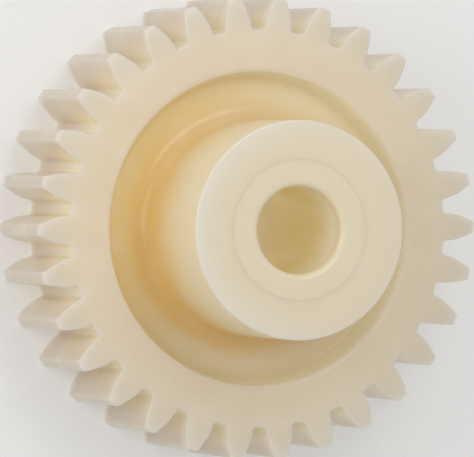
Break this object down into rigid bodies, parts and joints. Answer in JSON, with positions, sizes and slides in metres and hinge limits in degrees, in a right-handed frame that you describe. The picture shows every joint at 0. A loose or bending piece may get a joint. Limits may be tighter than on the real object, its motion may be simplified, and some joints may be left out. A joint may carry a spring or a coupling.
{
  "type": "spur gear",
  "caption": "Natural acetal spur gear with involute teeth, a recessed web, a long hub on one side and a plain round bore for a shaft.",
  "frame": {"origin": "centre of the bore in the plane of the gear's back face, on which it lies", "axes": "+Z along the bore axis towards the hub, +X through the middle of a tooth"},
  "size_m": [0.032, 0.0318, 0.017],
  "materials": {
    "acetal_body": "satin, slightly translucent, as moulded",
    "acetal_sleeve": "satin, slightly translucent, as moulded"
  },
  "bodies": {
    "root": {"gear_body": "acetal_body", "bore_sleeve": "acetal_sleeve"}
  },
  "joints": []
}
